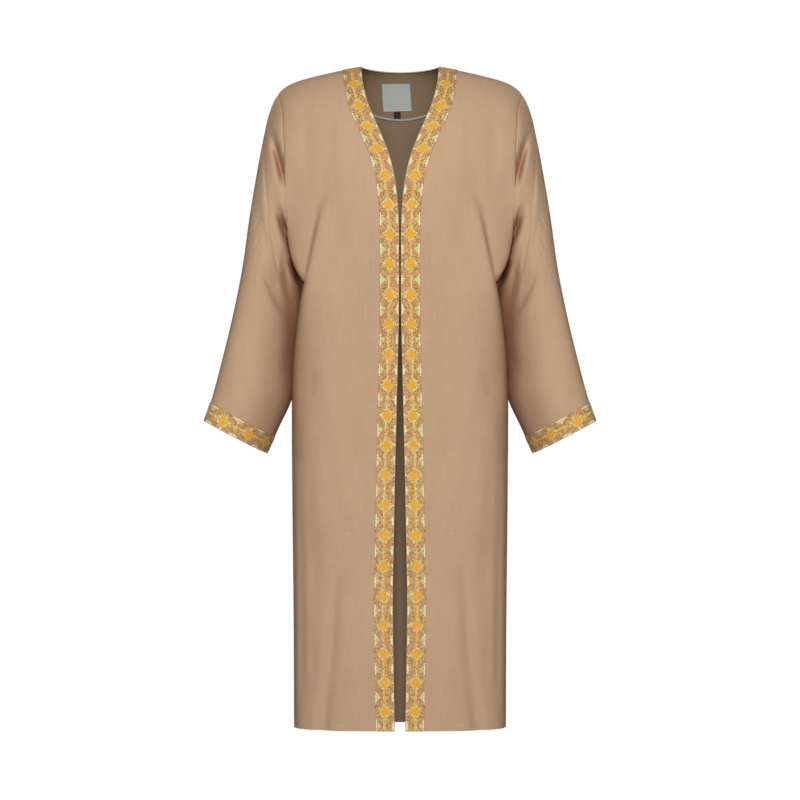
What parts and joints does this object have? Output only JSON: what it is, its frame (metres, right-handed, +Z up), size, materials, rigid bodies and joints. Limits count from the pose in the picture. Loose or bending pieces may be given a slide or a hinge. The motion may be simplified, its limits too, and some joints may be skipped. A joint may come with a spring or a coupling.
{
  "type": "garment",
  "caption": "Long open-fronted coat (manteau) in sand-coloured cloth, with woven gold tape round the neck, fronts and cuffs, standing open as if worn.",
  "frame": {"origin": "midway between the two shoulder neck points, on the shoulder seam line, where the coat rests on the wearer", "axes": "+Z up, -Y the way the wearer faces, +X the wearer's left"},
  "size_m": [0.675, 0.2105, 1.1444],
  "materials": {
    "cloth": "matte slubbed plain weave",
    "tape": "woven jacquard ribbon with a metallic yarn",
    "binding": "matte bias tape",
    "label": "satin woven label, bare",
    "tag": "woven tab, bare"
  },
  "bodies": {
    "root": {"front_left": "cloth", "front_right": "cloth", "back": "cloth", "sleeve_left": "cloth", "sleeve_right": "cloth", "front_tape_left": "tape", "front_tape_right": "tape", "cuff_tape_left": "tape", "cuff_tape_right": "tape", "back_neck_tape": "tape", "neck_facing": "cloth", "facing_binding": "binding", "label": "label", "size_tag": "tag"}
  },
  "joints": []
}
